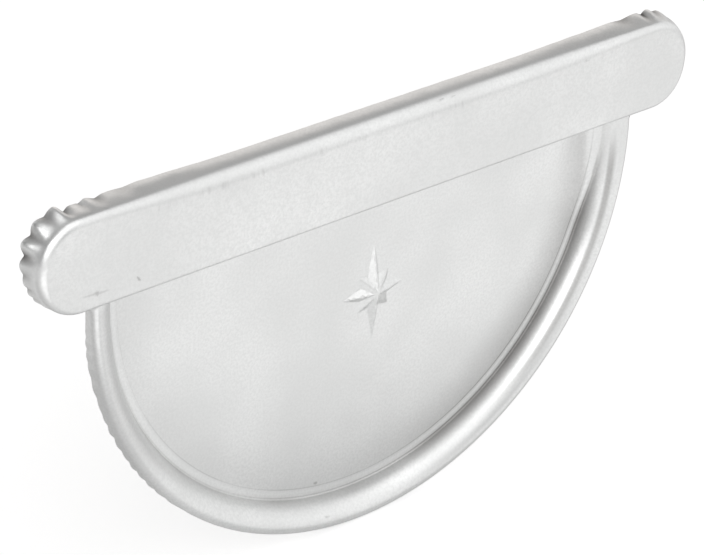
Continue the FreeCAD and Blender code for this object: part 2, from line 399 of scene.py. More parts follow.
def smudge_group() -> bpy.types.NodeTree:
    """Shared effect: one ragged spot or stroke of dirt.

    Returns:
        The node group, with the output Mask.
    """
    raggedness, edge = 1.1, (1.0, 0.25)
    board = NodeBoard(bpy.data.node_groups.new("smudge", "ShaderNodeTree"))
    for name in ("Vector", "Centre", "Turn", "Reach"):
        board.socket(name, VECTOR)
    board.socket("Mask", FLOAT, output=True)
    given = board.add("NodeGroupInput").outputs
    local = board.add("ShaderNodeMapping", {"Vector": given["Vector"], "Location": given["Centre"],
                                            "Rotation": given["Turn"], "Scale": given["Reach"]},
                      vector_type="TEXTURE")
    ragged = board.add("ShaderNodeTexNoise",
                       {"Vector": local.outputs["Vector"], "Scale": 1.6, "Detail": 3.0})
    stray = board.math("MULTIPLY_ADD", ragged.outputs["Fac"], raggedness, -raggedness / 2)
    distance = board.math("ADD", board.vector("LENGTH", local.outputs["Vector"]), stray)
    board.add("NodeGroupOutput", {"Mask": board.step(distance, *edge)})
    return board.tree


@dataclass(frozen=True)
class Smudge:
    """A spot or stroke of dirt on the band, the field or the rim, with its sizes in millimetres.

    Attributes:
        x: its place along the band.
        y: its depth.
        z: its height.
        long: half its length.
        wide: half its width.
        turn: its slope, in degrees.
        strength: how dark it is, from 0 to 1.
    """

    x: float
    y: float
    z: float
    long: float
    wide: float
    turn: float
    strength: float

    def inputs(self) -> dict[str, tuple[float, ...]]:
        """Its place, slope and size, as inputs of the smudge effect.

        Returns:
            The inputs by name.
        """
        return {"Centre": (self.x * MM, self.y * MM, self.z * MM),
                "Turn": (0.0, math.radians(self.turn), 0.0),
                "Reach": (self.long * MM, self.wide * MM, self.wide * MM)}


SMUDGES = (
    Smudge(16.8, -7.0, 24.0, 2.4, 0.9, -6.0, 0.5),
    Smudge(20.3, -7.0, 23.8, 2.0, 0.7, -4.0, 0.45),
    Smudge(60.8, -7.2, 21.6, 1.4, 0.6, 0.0, 0.3),
    Smudge(-79.6, -7.6, 6.5, 5.0, 0.5, 3.0, 0.22),
    Smudge(-79.4, -7.6, 6.5, 1.0, 0.9, 0.0, 0.32),
    Smudge(-68.6, -7.6, 6.5, 1.1, 0.45, 50.0, 0.4),
    Smudge(-12.6, -0.7, -68.0, 0.9, 0.7, 0.0, 0.5),
    Smudge(-39.0, -5.8, -64.0, 1.3, 0.8, 30.0, 0.35),
    Smudge(-32.6, -5.8, -67.5, 1.6, 0.6, 20.0, 0.3),
    Smudge(-21.3, -5.8, -71.5, 1.8, 0.9, 10.0, 0.35),
    Smudge(-13.0, -5.8, -74.5, 1.2, 0.8, 0.0, 0.3),
)


@dataclass(frozen=True)
class ZincFinish:
    """Satin zinc coat: pale grey, finely grained, with draw marks, streaks, a few smudges, painted shade in
    its creases and over the ridge's upper left, and a darkening towards the ridge's foot.

    A span names the two places between which an effect sets in, from none to full.
    """

    name: str = "zinc_coat"
    light: tuple[float, ...] = (0.875, 0.88, 0.875, 1.0)
    dull: tuple[float, ...] = (0.74, 0.745, 0.74, 1.0)
    # Colour of the smudges and draw marks, and of the painted shade in the creases and on the ridge
    dirt_and_shade: tuple[float, ...] = (0.20, 0.19, 0.185, 1.0)
    roughness: float = 0.27
    patch_roughness: float = 0.05
    dirt_and_shade_roughness: float = 0.3
    grain_per_metre: float = 1500.0
    cloud_per_metre: float = 38.0
    grain_share: float = 0.7
    cloud_share: float = 0.6
    grain_depth: float = 0.02 * MM
    grain_strength: float = 0.35
    right_side: Span = (-20.0 * MM, 60.0 * MM)
    left_side: Span = (-66.0 * MM, -20.0 * MM)
    band_side: Span = (1.0 * MM, 4.0 * MM)
    # Strength of the painted shade in the creases: heavier away from the far left, near the band and on the
    # right
    groove_least: float = 0.08
    groove_middle: float = 0.17
    groove_band: float = 0.5
    groove_right: float = 0.5
    groove_cloud: float = 0.2
    # Darkening of the field towards the ridge's foot, heavier on the right
    darkening_start: Span = (58.0 * MM, 70.5 * MM)
    darkening_end: Span = (70.8 * MM, 70.0 * MM)
    darkening_depth: Span = (-2.2 * MM, -1.2 * MM)
    darkening_least: float = 0.07
    darkening_right: float = 0.26
    ridge_start: Span = (71.2 * MM, 71.8 * MM)
    ridge_top: Span = (2.2 * MM, 0.0)
    # Painted shade over the ridge's upper left, which mutes its highlight
    highlight_shade_side: Span = (-56.0 * MM, -72.0 * MM)
    highlight_shade: float = 0.13
    streak_side: Span = (30.0 * MM, 62.0 * MM)
    streak_top: Span = (1.0 * MM, -12.0 * MM)
    streak_core: float = 0.2
    streaks: tuple[tuple[float, ...], ...] = ((2.6 * MM, 0.8 * MM, 0.42), (5.0 * MM, 0.7 * MM, 0.5))
    draw_start: Span = (20.0 * MM, 21.2 * MM)
    draw_end: Span = (22.6 * MM, 21.8 * MM)
    draw_front: Span = (-6.5 * MM, -7.2 * MM)
    draw_per_metre: tuple[float, ...] = (900.0, 60.0, 60.0)
    draw_strokes: Span = (0.5, 0.75)
    draw_patches: Span = (0.42, 0.62)
    draw_strength: float = 0.15

    def material(self, grain: bpy.types.NodeTree, smudge: bpy.types.NodeTree,
                 smudges: tuple[Smudge, ...]) -> bpy.types.Material:
        """Make the material.

        Args:
            grain: the shared grain effect.
            smudge: the shared effect of one smudge.
            smudges: the smudges on this finish.

        Returns:
            The new material.
        """
        material, board = new_material(self.name)
        place = board.add("ShaderNodeTexCoord").outputs["Object"]
        effect = board.place(grain, {"Vector": place, "Grain per metre": self.grain_per_metre,
                                     "Cloud per metre": self.cloud_per_metre}).outputs
        colour = board.mix(board.math("MULTIPLY", effect["Cloud"], self.cloud_share), self.light, self.dull)
        colour = board.mix(board.math("MULTIPLY", effect["Grain"], self.grain_share), colour, self.dull)
        # Painted crease shade, the darkening towards the ridge's foot, and the ridge's streaks and painted
        # shade
        dirt_and_shade = self.shade_darkening_and_streaks(board, place, effect["Cloud"])
        for spot in smudges:
            mask = board.place(smudge, {"Vector": place, **spot.inputs()}).outputs["Mask"]
            dirt_and_shade = board.math("MAXIMUM", dirt_and_shade, board.math("MULTIPLY", mask, spot.strength))
        dirt_and_shade = board.math("MAXIMUM", dirt_and_shade, self.draw_marks(board, place))
        # Smudges, draw marks, painted shade and the darkening all darken the colour
        colour = board.mix(dirt_and_shade, colour, self.dirt_and_shade)
        roughness = board.math("MULTIPLY_ADD", effect["Cloud"], self.patch_roughness, self.roughness)
        roughness = board.math("MULTIPLY_ADD", effect["Grain"], self.patch_roughness, roughness)
        roughness = board.math("MULTIPLY_ADD", dirt_and_shade, self.dirt_and_shade_roughness, roughness)
        bump = board.add("ShaderNodeBump", {"Strength": self.grain_strength, "Distance": self.grain_depth,
                                            "Height": effect["Grain"]})
        surface = board.add("ShaderNodeBsdfPrincipled", {
            "Base Color": colour, "Metallic": 1.0, "Roughness": roughness,
            "Normal": bump.outputs["Normal"]})
        board.add("ShaderNodeOutputMaterial", {"Surface": surface.outputs["BSDF"]})
        return material

    def shade_darkening_and_streaks(self, board: NodeBoard, place: bpy.types.NodeSocket,
                    cloud: bpy.types.NodeSocket) -> bpy.types.NodeSocket:
        """Painted shade in the grooves and creases, and a darkening of the field towards the ridge's foot,
        both heavier on the right.

        Args:
            board: the material's nodes.
            place: place on the object.
            cloud: the coat's soft patches.

        Returns:
            The strength of the painted crease shade and the darkening, with the ridge's streaks and its
            painted shade.
        """
        axes = board.add("ShaderNodeSeparateXYZ", {"Vector": place}).outputs
        radius = board.vector("LENGTH", board.vector("MULTIPLY", place, (1.0, 0.0, 1.0)))
        right = board.step(axes["X"], *self.right_side)
        crease_shade = board.add("ShaderNodeAttribute", attribute_name=Mark.CREASE_SHADE.value).outputs["Fac"]
        heavy = board.math("MULTIPLY_ADD", board.step(axes["X"], *self.left_side),
                           self.groove_middle, self.groove_least)
        heavy = board.math("MULTIPLY_ADD", board.step(axes["Z"], *self.band_side), self.groove_band, heavy)
        heavy = board.math("MULTIPLY_ADD", cloud, self.groove_cloud, heavy)
        heavy = board.math("MULTIPLY_ADD", right, self.groove_right, heavy, clamp=True)
        # Darkening of the field towards the ridge's foot, heavier on the right
        darkening = board.math("MULTIPLY_ADD", right, self.darkening_right, self.darkening_least)
        for value, span in ((radius, self.darkening_start), (radius, self.darkening_end),
                            (axes["Y"], self.darkening_depth)):
            darkening = board.math("MULTIPLY", darkening, board.step(value, *span))
        dirt_and_shade = board.math("MAXIMUM", board.math("MULTIPLY", crease_shade, heavy), darkening)
        return board.math("MAXIMUM", dirt_and_shade, self.ridge_streaks_and_shade(board, axes, radius))

    def ridge_streaks_and_shade(self, board: NodeBoard, axes: bpy.types.bpy_prop_collection,
                      radius: bpy.types.NodeSocket) -> bpy.types.NodeSocket:
        """Dark streaks along the ridge's right-hand side, and painted shade over its upper left that mutes
        its highlight.

        Args:
            board: the material's nodes.
            axes: the place on the object, axis by axis.
            radius: distance from the half-round's centre.

        Returns:
            The strength of the streaks and of the painted shade.
        """
        ridge = board.math("MULTIPLY", board.step(radius, *self.ridge_start),
                           board.step(axes["Z"], *self.ridge_top))
        # Painted shade over the ridge's upper left
        highlight_shade = board.math("MULTIPLY", board.step(axes["X"], *self.highlight_shade_side), ridge)
        zone = board.math("MULTIPLY", board.step(axes["X"], *self.streak_side), ridge)
        zone = board.math("MULTIPLY", zone, board.step(axes["Z"], *self.streak_top))
        streaks = 0.0
        for depth, wide, strength in self.streaks:
            off = board.math("ABSOLUTE", board.math("ADD", axes["Y"], depth))
            streak = board.math("MULTIPLY", board.step(off, wide, wide * self.streak_core), strength)
            streaks = board.math("MAXIMUM", streaks, streak)
        return board.math("MULTIPLY_ADD", highlight_shade, self.highlight_shade, board.math("MULTIPLY", zone, streaks))

    def draw_marks(self, board: NodeBoard, place: bpy.types.NodeSocket) -> bpy.types.NodeSocket:
        """Fine strokes across the band's upper bend, where the sheet was drawn over the tool.

        Args:
            board: the material's nodes.
            place: place on the object.

        Returns:
            The strokes' strength.
        """
        axes = board.add("ShaderNodeSeparateXYZ", {"Vector": place}).outputs
        drawn = board.vector("MULTIPLY", place, self.draw_per_metre)
        strokes = board.add("ShaderNodeTexNoise", {"Vector": drawn, "Scale": 1.0, "Detail": 2.0})
        patches = board.add("ShaderNodeTexNoise", {"Vector": place, "Scale": 45.0, "Detail": 1.0})
        mask = self.draw_strength
        for value, span in ((axes["Z"], self.draw_start), (axes["Z"], self.draw_end),
                            (axes["Y"], self.draw_front), (patches.outputs["Fac"], self.draw_patches),
                            (strokes.outputs["Fac"], self.draw_strokes)):
            mask = board.math("MULTIPLY", mask, board.step(value, *span))
        return mask


@dataclass(frozen=True)
class CutEdgeFinish:
    """Sheared edge of the sheet: bare steel, a little darker and duller than the coat."""

    name: str = "cut_edge"
    steel: tuple[float, ...] = (0.55, 0.54, 0.53, 1.0)
    zinc: tuple[float, ...] = (0.70, 0.70, 0.70, 1.0)
    grain_per_metre: float = 2600.0
    cloud_per_metre: float = 120.0
    roughness: float = 0.35
    grain_roughness: float = 0.15

    def material(self, grain: bpy.types.NodeTree) -> bpy.types.Material:
        """Make the material.

        Args:
            grain: the shared grain effect.

        Returns:
            The new material.
        """
        material, board = new_material(self.name)
        place = board.add("ShaderNodeTexCoord").outputs["Object"]
        effect = board.place(grain, {"Vector": place, "Grain per metre": self.grain_per_metre,
                                     "Cloud per metre": self.cloud_per_metre}).outputs
        colour = board.mix(effect["Cloud"], self.steel, self.zinc)
        roughness = board.math("MULTIPLY_ADD", effect["Grain"], self.grain_roughness, self.roughness)
        surface = board.add("ShaderNodeBsdfPrincipled",
                            {"Base Color": colour, "Metallic": 1.0, "Roughness": roughness})
        board.add("ShaderNodeOutputMaterial", {"Surface": surface.outputs["BSDF"]})
        return material


@dataclass(frozen=True)
class CrimpTree:
    """Geometry nodes that gather a flange into folds, which grow towards its free edge."""

    name: str = "crimped_flange"
    ragged_per_metre: float = 260.0

    def build(self) -> bpy.types.NodeTree:
        """Make the tree.

        Returns:
            The tree, with the inputs Pinch, Growth, Unevenness, Seed and Finish.
        """
        board = NodeBoard(bpy.data.node_groups.new(self.name, "GeometryNodeTree"))
        board.tree.is_modifier = True
        geometry = "NodeSocketGeometry"
        board.socket("Geometry", geometry)
        for name in ("Pinch", "Growth", "Unevenness", "Seed"):
            board.socket(name, FLOAT)
        board.socket("Finish", "NodeSocketMaterial")
        board.socket("Geometry", geometry, output=True)
        given = board.add("NodeGroupInput").outputs
        flare = board.step(self.mark(board, Mark.FLARE), 0.0, given["Growth"])
        wave = board.math("COSINE", board.math("MULTIPLY", self.mark(board, Mark.FOLD), math.pi))
        soft = board.math("MULTIPLY", given["Pinch"], given["Pinch"])
        rounded = board.math("SQRT", board.math("MULTIPLY_ADD", wave, wave, soft))
        full = board.math("SQRT", board.math("ADD", soft, 1.0))
        lobe = board.math("DIVIDE", board.math("SUBTRACT", rounded, given["Pinch"]),
                          board.math("SUBTRACT", full, given["Pinch"]))
        rise, dip = self.mark(board, Mark.RISE), self.mark(board, Mark.DIP)
        reach = board.math("MULTIPLY_ADD", board.math("SUBTRACT", rise, dip), lobe, dip)
        ragged = board.add("ShaderNodeTexNoise", {"W": given["Seed"], "Scale": self.ragged_per_metre,
                                                  "Detail": 1.0}, noise_dimensions="4D")
        uneven = board.math("SUBTRACT", ragged.outputs["Fac"], 0.5)
        uneven = board.math("MULTIPLY", uneven, given["Unevenness"])
        reach = board.math("MULTIPLY", board.math("ADD", reach, uneven), flare)
        outward = board.add("GeometryNodeInputNamedAttribute", {"Name": Mark.OUTWARD.value},
                            data_type="FLOAT_VECTOR").outputs["Attribute"]
        scale = board.add("ShaderNodeVectorMath", {0: outward, "Scale": reach}, operation="SCALE")
        moved = board.add("GeometryNodeSetPosition", {"Geometry": given["Geometry"],
                                                      "Offset": scale.outputs["Vector"]})
        real = board.add("GeometryNodeRealizeInstances", {"Geometry": moved.outputs["Geometry"]})
        dressed = board.add("GeometryNodeSetMaterial", {"Geometry": real.outputs["Geometry"],
                                                        "Material": given["Finish"]})
        board.add("NodeGroupOutput", {"Geometry": dressed.outputs["Geometry"]})
        return board.tree

    def mark(self, board: NodeBoard, mark: Mark) -> bpy.types.NodeSocket:
        """Read one of the sheet's marks."""
        node = board.add("GeometryNodeInputNamedAttribute", {"Name": mark.value}, data_type="FLOAT")
        return node.outputs["Attribute"]


def ear_folds(*folds: tuple[float, float, float]) -> tuple[Fold, ...]:
    """Folds of an ear from places, rises and dips in millimetres."""
    return tuple(Fold(at * MM, rise * MM, dip * MM) for at, rise, dip in folds)


@dataclass
class EndCap:
    """The end cap: one pressed sheet with a band, a half-round field, a ridge and crimped flanges.

    Depths and heights are measured from the half-round's centre in the plane of the sheet's back.
    """

    # Sheet, half-round and band
    thickness: float = 0.6 * MM
    rim_radius: float = 79.0 * MM
    side_height: float = 2.7 * MM
    band_height: float = 22.2 * MM
    band_shift: float = 0.83 * MM
    ear_centre: float = 83.47 * MM
    band_front: float = 7.6 * MM
    ridge_front: float = 6.0 * MM
    flange_end: float = 1.9 * MM
    # Bend round the band's face, and the flange behind it
    top_bend: float = 4.2 * MM
    ear_bend: float = 2.3 * MM
    under_bend: float = 1.2 * MM
    bend_run: float = 40.0 * MM
    bend_facing: Span = (-0.95, -0.05)
    flange_lean: float = 25.0
    lean_facing: Span = (-0.3, 0.6)
    edge_lean: float = 0.05
    # Ridge and coined ring
    crest_radius: float = 1.6 * MM
    wall_radius: float = 7.0 * MM
    foot_radius: float = 0.5 * MM
    foot_ring: float = 71.85 * MM
    coin_ring: float = 69.8 * MM
    coin_rise: float = 0.15 * MM
    coin_line: float = 0.25 * MM
    coin_parts: tuple[float, ...] = (0.15, 0.5, 0.85)
    # Painted shade along the coined line, falling off across its parts
    coin_shade: float = 0.3
    # Fold under the band, and the corners beside it
    fold_radius: float = 0.35 * MM
    # Painted shade in the fold under the band
    fold_shade: float = 0.4
    corner_radius: float = 2.6 * MM
    corner_growth: float = 1.5
    corner_trim: float = 0.9 * MM
    trim_run: float = 14.0 * MM
    flange_facing: float = 0.3
    # Fading of the ridge's foot below the band
    fade_start: float = 64.0 * MM
    fade_reach: float = 27.0 * MM
    fade_left: float = 0.3
    fade_right: float = 0.85
    # Stamped star
    star_centre: tuple[float, float] = (3.2 * MM, -22.5 * MM)
    star_up: float = 13.0 * MM
    star_side: float = 9.5 * MM
    star_slant: float = 6.6 * MM
    star_notch: float = 4.5 * MM
    star_height: float = 2.2 * MM
    star_foot: float = 0.04
    star_tip: float = 0.95
    star_rings: tuple[float, ...] = (1.06, 1.0, 0.95, 0.9, 0.75, 0.55, 0.35, 0.18, 0.07)
    # Slight unevenness of the flat faces
    unevenness: float = 0.10 * MM
    uneven_per_metre: float = 30.0
    ring_ease: float = 12.0 * MM
    fold_ease: float = 8.0 * MM
    face_ease: float = 5.0 * MM
    # Crimps
    crimp_start: float = 0.4
    crimp_ease: float = 8.0 * MM
    # Painted shade in the valleys between the crimps
    crimp_shade: float = 1.4
    full_fold: float = 1.0 * MM
    rim_pitch: float = 4.2 * MM
    rim_stretch: Span = (0.75, 1.3)
    rim_rise: Span = (0.10 * MM, 0.30 * MM)
    rim_dip: Span = (-0.12 * MM, 0.0)
    seed: int = 7
    left_folds: tuple[Fold, ...] = ear_folds(
        (-16.5, 0.1, 0.1), (-13.6, 0.4, 0.1), (-10.9, 0.4, 0.1), (-8.2, 0.35, 0.0), (-5.6, 0.4, 0.0),
        (-2.6, 0.5, 0.1), (1.5, 0.8, -0.2), (5.8, 1.5, 0.3), (9.9, 1.65, 0.6), (14.3, 1.3, -1.1),
        (18.6, -0.3, -0.5), (21.8, 0.35, -0.45), (27.0, 0.1, 0.0), (35.6, 0.4, 0.3), (52.0, 0.12, 0.05),
        (62.0, 0.0, 0.0), (103.0, 0.0, 0.0))
    right_folds: tuple[Fold, ...] = ear_folds(
        (-16.5, 0.1, 0.1), (-13.0, 0.3, 0.1), (-9.0, 0.5, 0.0), (-4.6, 0.65, 0.0), (-0.4, 0.55, 0.0),
        (4.2, 0.25, -0.35), (8.4, 0.0, -0.45), (12.6, 0.15, -0.2), (16.6, 0.5, -0.45), (20.0, 0.45, -0.1),
        (29.5, 0.3, 0.15), (49.0, 0.12, 0.05), (62.0, 0.0, 0.0), (103.0, 0.0, 0.0))
    # Fineness of the mesh
    arc_steps: int = 480
    side_parts: tuple[float, ...] = (1.0, 0.6, 0.3)
    flange_steps: int = 6
    crest_steps: int = 14
    wall_steps: int = 16
    foot_steps: int = 6
    fold_steps: int = 6
    field_steps: int = 70
    ear_steps: int = 160
    top_steps: int = 240
    under_steps: int = 4
    bend_steps: int = 14
    band_wall_steps: int = 6
    band_flange_steps: int = 12
    edge_rings: tuple[tuple[float, float], ...] = ((1.2 * MM, 1.2 * MM), (3.2 * MM, 2.4 * MM))
    field_lattice: float = 2.5 * MM
    ring_margin: float = 5.0 * MM
    fold_margin: float = 2.0 * MM
    face_lattice: float = 2.0 * MM
    face_margin: float = 0.8 * MM
    sharp_angle: float = 35.0

    @property
    def field_radius(self) -> float:
        """Radius of the flat field, inside the coined line."""
        return self.coin_ring - self.coin_line

    @property
    def field_columns(self) -> list[float]:
        """Places across the field along the fold under the band, from left to right."""
        return [self.field_radius * (2 * step / self.field_steps - 1) for step in range(self.field_steps + 1)]

    def build(self, coat: bpy.types.Material, edge: bpy.types.Material) -> bpy.types.Object:
        """Make the finished sheet.

        Args:
            coat: finish of the sheet's faces.
            edge: finish of its sheared edges.

        Returns:
            The piece, as a plain mesh at the origin.
        """
        skin = Skin()
        self.draw_half_round(skin)
        self.draw_field(skin)
        self.draw_band(skin)
        crimped = self.crimp(skin.mesh("sheet_skin"), coat)
        return self.thicken(crimped, coat, edge)

    def wall_centre(self, crest: Vector, foot: Vector) -> Vector:
        """Centre of the ridge's round wall, which touches the rounds of the crest and the foot.

        Args:
            crest: centre of the crest's round, as radius and y.
            foot: centre of the foot's round.

        Returns:
            The centre, on the gutter's side of the sheet.
        """
        near, far = self.wall_radius - self.crest_radius, self.wall_radius + self.foot_radius
        span = foot - crest
        along = (near ** 2 - far ** 2 + span.length_squared) / (2 * span.length)
        ahead = span.normalized()
        return crest + ahead * along + Vector((ahead.y, -ahead.x)) * math.sqrt(near ** 2 - along ** 2)

    def section(self) -> list[tuple[float, float, float, float, float]]:
        """Section of the half-round's rim, from the free edge of its flange to the coined ring.

        Returns:
            For each point its radius, its y, the two parts of its outward normal, and its groove mark.
        """
        crest = Vector((self.rim_radius - self.crest_radius, self.crest_radius - self.ridge_front))
        foot = Vector((self.foot_ring, -self.thickness - self.coin_rise - self.foot_radius))
        wall = self.wall_centre(crest, foot)
        head, base = (math.atan2(wall.x - end.x, wall.y - end.y) for end in (crest, foot))
        rows = []

        def add_round(centre: Vector, radius: float, tilt: float, crease_shade: float) -> None:
            """Add a point of a round, whose normal is tilted from straight ahead."""
            across, ahead = -math.sin(tilt), -math.cos(tilt)
            rows.append((centre.x + radius * across, centre.y + radius * ahead, across, ahead, crease_shade))

        for step in range(self.flange_steps):
            y = -self.flange_end + (crest.y + self.flange_end) * step / self.flange_steps
            rows.append((self.rim_radius, y, 1.0, 0.0, 0.0))
        for step in range(self.crest_steps + 1):
            part = step / self.crest_steps
            add_round(crest, self.crest_radius, (math.pi / 2 + head) * part - math.pi / 2, 0.0)
        # The wall's lower half, the foot and the coined line carry painted crease shade
        for step in range(1, self.wall_steps):
            part = step / self.wall_steps
            add_round(wall, self.wall_radius, head + (base - head) * part, max(0.0, 2 * part - 1))
        for step in range(self.foot_steps + 1):
            add_round(foot, -self.foot_radius, base * (1 - step / self.foot_steps), 1.0)
        for part in self.coin_parts:
            rows.append((self.foot_ring + (self.coin_ring - self.foot_ring) * part,
                         -self.thickness - self.coin_rise * (1 - part), 0.0, -1.0,
                         max(0.0, self.coin_shade - part)))
        rows.append((self.coin_ring, -self.thickness, 0.0, -1.0, 1.0))
        rows.append((self.field_radius, -self.thickness, 0.0, -1.0, 0.0))
        return rows

    def fold_size(self, across: float) -> float:
        """Radius of the fold under the band, large where the surface faces out to an ear."""
        growth = max(0.0, across) ** self.corner_growth
        return self.fold_radius + (self.corner_radius - self.fold_radius) * growth

    def trimmed(self, y: float, distance: float) -> float:
        """Depth of a flange's point, whose free edge is trimmed near the corner under the band.

        Args:
            y: the point's depth on an untrimmed flange.
            distance: way along the flange from the corner.

        Returns:
            The depth.
        """
        crest_y = self.crest_radius - self.ridge_front
        trim = self.corner_trim * (1 - smooth_part(distance, 0.0, self.trim_run))
        return y - trim * max(0.0, (y - crest_y) / (-self.flange_end - crest_y))

    def fade(self, x: float, z: float) -> float:
        """Share by which the ridge's foot has faded out at one place, most just below the band."""
        most = self.fade_right if x > 0 else self.fade_left
        return most * (1 - smooth_part(-z, 0.0, self.fade_reach))

    def faded(self, x: float, z: float, y: float) -> float:
        """Depth of the sheet's front where the ridge's foot fades out.

        Args:
            x: place across the half-round.
            z: height of the place.
            y: depth with the ridge's full section.

        Returns:
            The depth, between the full section and a soft slope from the field to the crest.
        """
        climb = smooth_part(math.hypot(x, min(z, 0.0)), self.fade_start, self.rim_radius - self.crest_radius)
        slope = -self.thickness - (self.ridge_front - self.thickness) * climb
        return y + min(0.0, slope - y) * self.fade(x, z)

    def stations(self, across: float) -> list[tuple[float, float]]:
        """Places along the half-round and its straight sides.

        Args:
            across: how far the surface faces outwards, which sets where its fold starts.

        Returns:
            For each place its angle and its height above the half-round's centre.
        """
        top = self.side_height - self.fold_size(across)
        sides = [top * part for part in self.side_parts]
        left = [(math.pi, height) for height in sides]
        arc = [(math.pi * (1 + step / self.arc_steps), 0.0) for step in range(self.arc_steps + 1)]
        right = [(2 * math.pi, height) for height in reversed(sides)]
        return left + arc + right

    def draw_half_round(self, skin: Skin) -> None:
        """Draw the flange, the ridge and the coined ring of the half-round, with their fold.

        Args:
            skin: the surface to draw on.
        """
        folds = self.rim_folds()
        crimp_front = self.ridge_front - self.crest_radius * self.crimp_start
        length = math.pi * self.rim_radius
        rows = []
        for radius, y, across, _, crease_shade in self.section():
            flange = across > self.flange_facing
            flare = max(0.0, (y + crimp_front) / (crimp_front - self.flange_end)) if flange else 0.0
            corner = self.side_height - self.fold_size(across)
            row = []
            for turn, height in self.stations(across):
                direction = Vector((math.cos(turn), 0.0, math.sin(turn)))
                along = (turn - math.pi) * self.rim_radius
                from_end = min(along, length - along)
                place = direction * radius + Vector((0.0, 0.0, height))
                if flange:
                    place.y = self.trimmed(y, from_end + corner - height)
                else:
                    place.y = self.faded(place.x, place.z, y)
                marks = self.fold_marks(folds, along, direction,
                                        flare * part_of(from_end, 0.0, self.crimp_ease))
                # Painted crease shade, which fades out with the ridge's foot
                marks[Mark.CREASE_SHADE] = crease_shade * (1 - self.fade(place.x, place.z))
                row.append(skin.add(place, marks))
            rows.append(row)
        skin.grid(rows)
        for side in (-1, 1):
            turned = []
            for radius, y, across, ahead, _ in self.section():
                flange = across > self.flange_facing
                depth = self.trimmed(y, 0.0) if flange else self.faded(side * radius, 0.0, y)
                line = self.fold_line(Vector((side * radius, depth, 0.0)), side * across, ahead)
                # The fold under the band carries painted shade
                turned.append([skin.add(place, {Mark.CREASE_SHADE: self.fold_shade}) for place in line])
            skin.grid(turned)

    def fold_line(self, start: Vector, across: float, ahead: float) -> list[Vector]:
        """Points up the fold that turns a vertical surface out under the band.

        Args:
            start: place of the surface, at any height.
            across: x of the surface's outward normal.
            ahead: y of the normal.

        Returns:
            The points, from the surface to the band's underside.
        """
        size = self.fold_size(abs(across) if across * start.x > 0 else 0.0)
        out = Vector((across * size, ahead * self.fold_radius, 0.0))
        places = []
        for step in range(self.fold_steps + 1):
            turn = math.pi / 2 * step / self.fold_steps
            height = self.side_height - size * (1 - math.sin(turn))
            places.append(Vector((start.x, start.y, height)) + out * (1 - math.cos(turn)))
        return places

    def rim_folds(self) -> tuple[Fold, ...]:
        """Small uneven folds all round the half-round's flange.

        Returns:
            The folds, in order along the flange.
        """
        draw = random.Random(self.seed)
        folds, at, end = [], -self.rim_pitch, math.pi * self.rim_radius + self.rim_pitch
        while at < end:
            folds.append(Fold(at, draw.uniform(*self.rim_rise), draw.uniform(*self.rim_dip)))
            at += self.rim_pitch * draw.uniform(*self.rim_stretch)
        return tuple(folds)

    def fold_marks(self, folds: tuple[Fold, ...], at: float, outward: Vector,
                   flare: float) -> dict[Mark, object]:
        """Marks of one point of a flange.

        Args:
            folds: the flange's folds in order.
            at: the point's place along the flange.
            outward: direction in which the folds stand out.
            flare: share of the folds' full height.

        Returns:
            The marks, blended between the two folds on either side.
        """
        index = bisect_right([fold.at for fold in folds], at) - 1
        index = min(max(index, 0), len(folds) - 2)
        low, high = folds[index], folds[index + 1]
        part = part_of(at, low.at, high.at)
        depth = min(1.0, ((low.rise + high.rise) / 2 - low.dip) / self.full_fold)
        # The valleys between folds carry painted shade
        return {Mark.FLARE: flare, Mark.FOLD: index + part, Mark.OUTWARD: outward,
                Mark.RISE: low.rise + (high.rise - low.rise) * part, Mark.DIP: low.dip,
                Mark.CREASE_SHADE: self.crimp_shade * flare * depth * math.sin(math.pi * part) ** 2}

    def uneven(self, x: float, z: float) -> float:
        """Slight unevenness of the flat faces, to one side only."""
        return self.unevenness * max(0.0, 0.5 + noise.noise(Vector((x, 0.0, z)) * self.uneven_per_metre))

    def star_corner(self, step: int) -> Vector:
        """Corner of the star's outline about its centre.

        Args:
            step: the corner's number, counted from the ray on the right.

        Returns:
            The corner's x and z.
        """
        reaches = (self.star_side, self.star_notch, self.star_slant, self.star_notch,
                   self.star_up, self.star_notch, self.star_slant, self.star_notch)
        reach, turn = reaches[step % len(reaches)], 2 * math.pi * step / STAR_CORNERS
        return Vector((reach * math.cos(turn), reach * math.sin(turn)))

    def star_ring(self, share: float) -> list[Vector]:
        """Outline of the star with its sides divided.

        Args:
            share: size of the outline, as a share of the star's.

        Returns:
            The places in order, in the XZ plane.
        """
        corners = [Vector(self.star_centre) + self.star_corner(step) * share for step in range(STAR_CORNERS)]
        places = []
        for corner, following in zip(corners, corners[1:] + corners[:1]):
            places.extend(corner.lerp(following, part) for part in (0.0, 0.25, 0.5, 0.75))
        return [Vector((place.x, 0.0, place.y)) for place in places]

    def star_level(self, x: float, z: float) -> float:
        """Height of the stamped star over the field.

        Args:
            x: place across the field.
            z: height of the place.

        Returns:
            The star's height there, with a soft foot and a blunt tip, and 0 outside its outline.
        """
        from_centre = Vector((x - self.star_centre[0], z - self.star_centre[1]))
        turn = math.atan2(from_centre.y, from_centre.x) % (2 * math.pi)
        step = int(turn / (2 * math.pi / STAR_CORNERS)) % STAR_CORNERS
        first, last = self.star_corner(step), self.star_corner(step + 1)
        edge = last - first
        normal = Vector((edge.y, -edge.x)).normalized()
        inner = 1 - from_centre.dot(normal) / first.dot(normal)
        if inner <= 0:
            return 0.0
        if inner < self.star_foot:
            return self.star_height * inner * inner / (2 * self.star_foot)
        return self.star_height * (min(inner, self.star_tip) - self.star_foot / 2)

    def draw_field(self, skin: Skin) -> None:
        """Draw the flat field with its star, up to the fold under the band.

        Args:
            skin: the surface to draw on.
        """
        folds = []
        for x in self.field_columns:
            line = self.fold_line(Vector((x, self.faded(x, 0.0, -self.thickness), 0.0)), 0.0, -1.0)
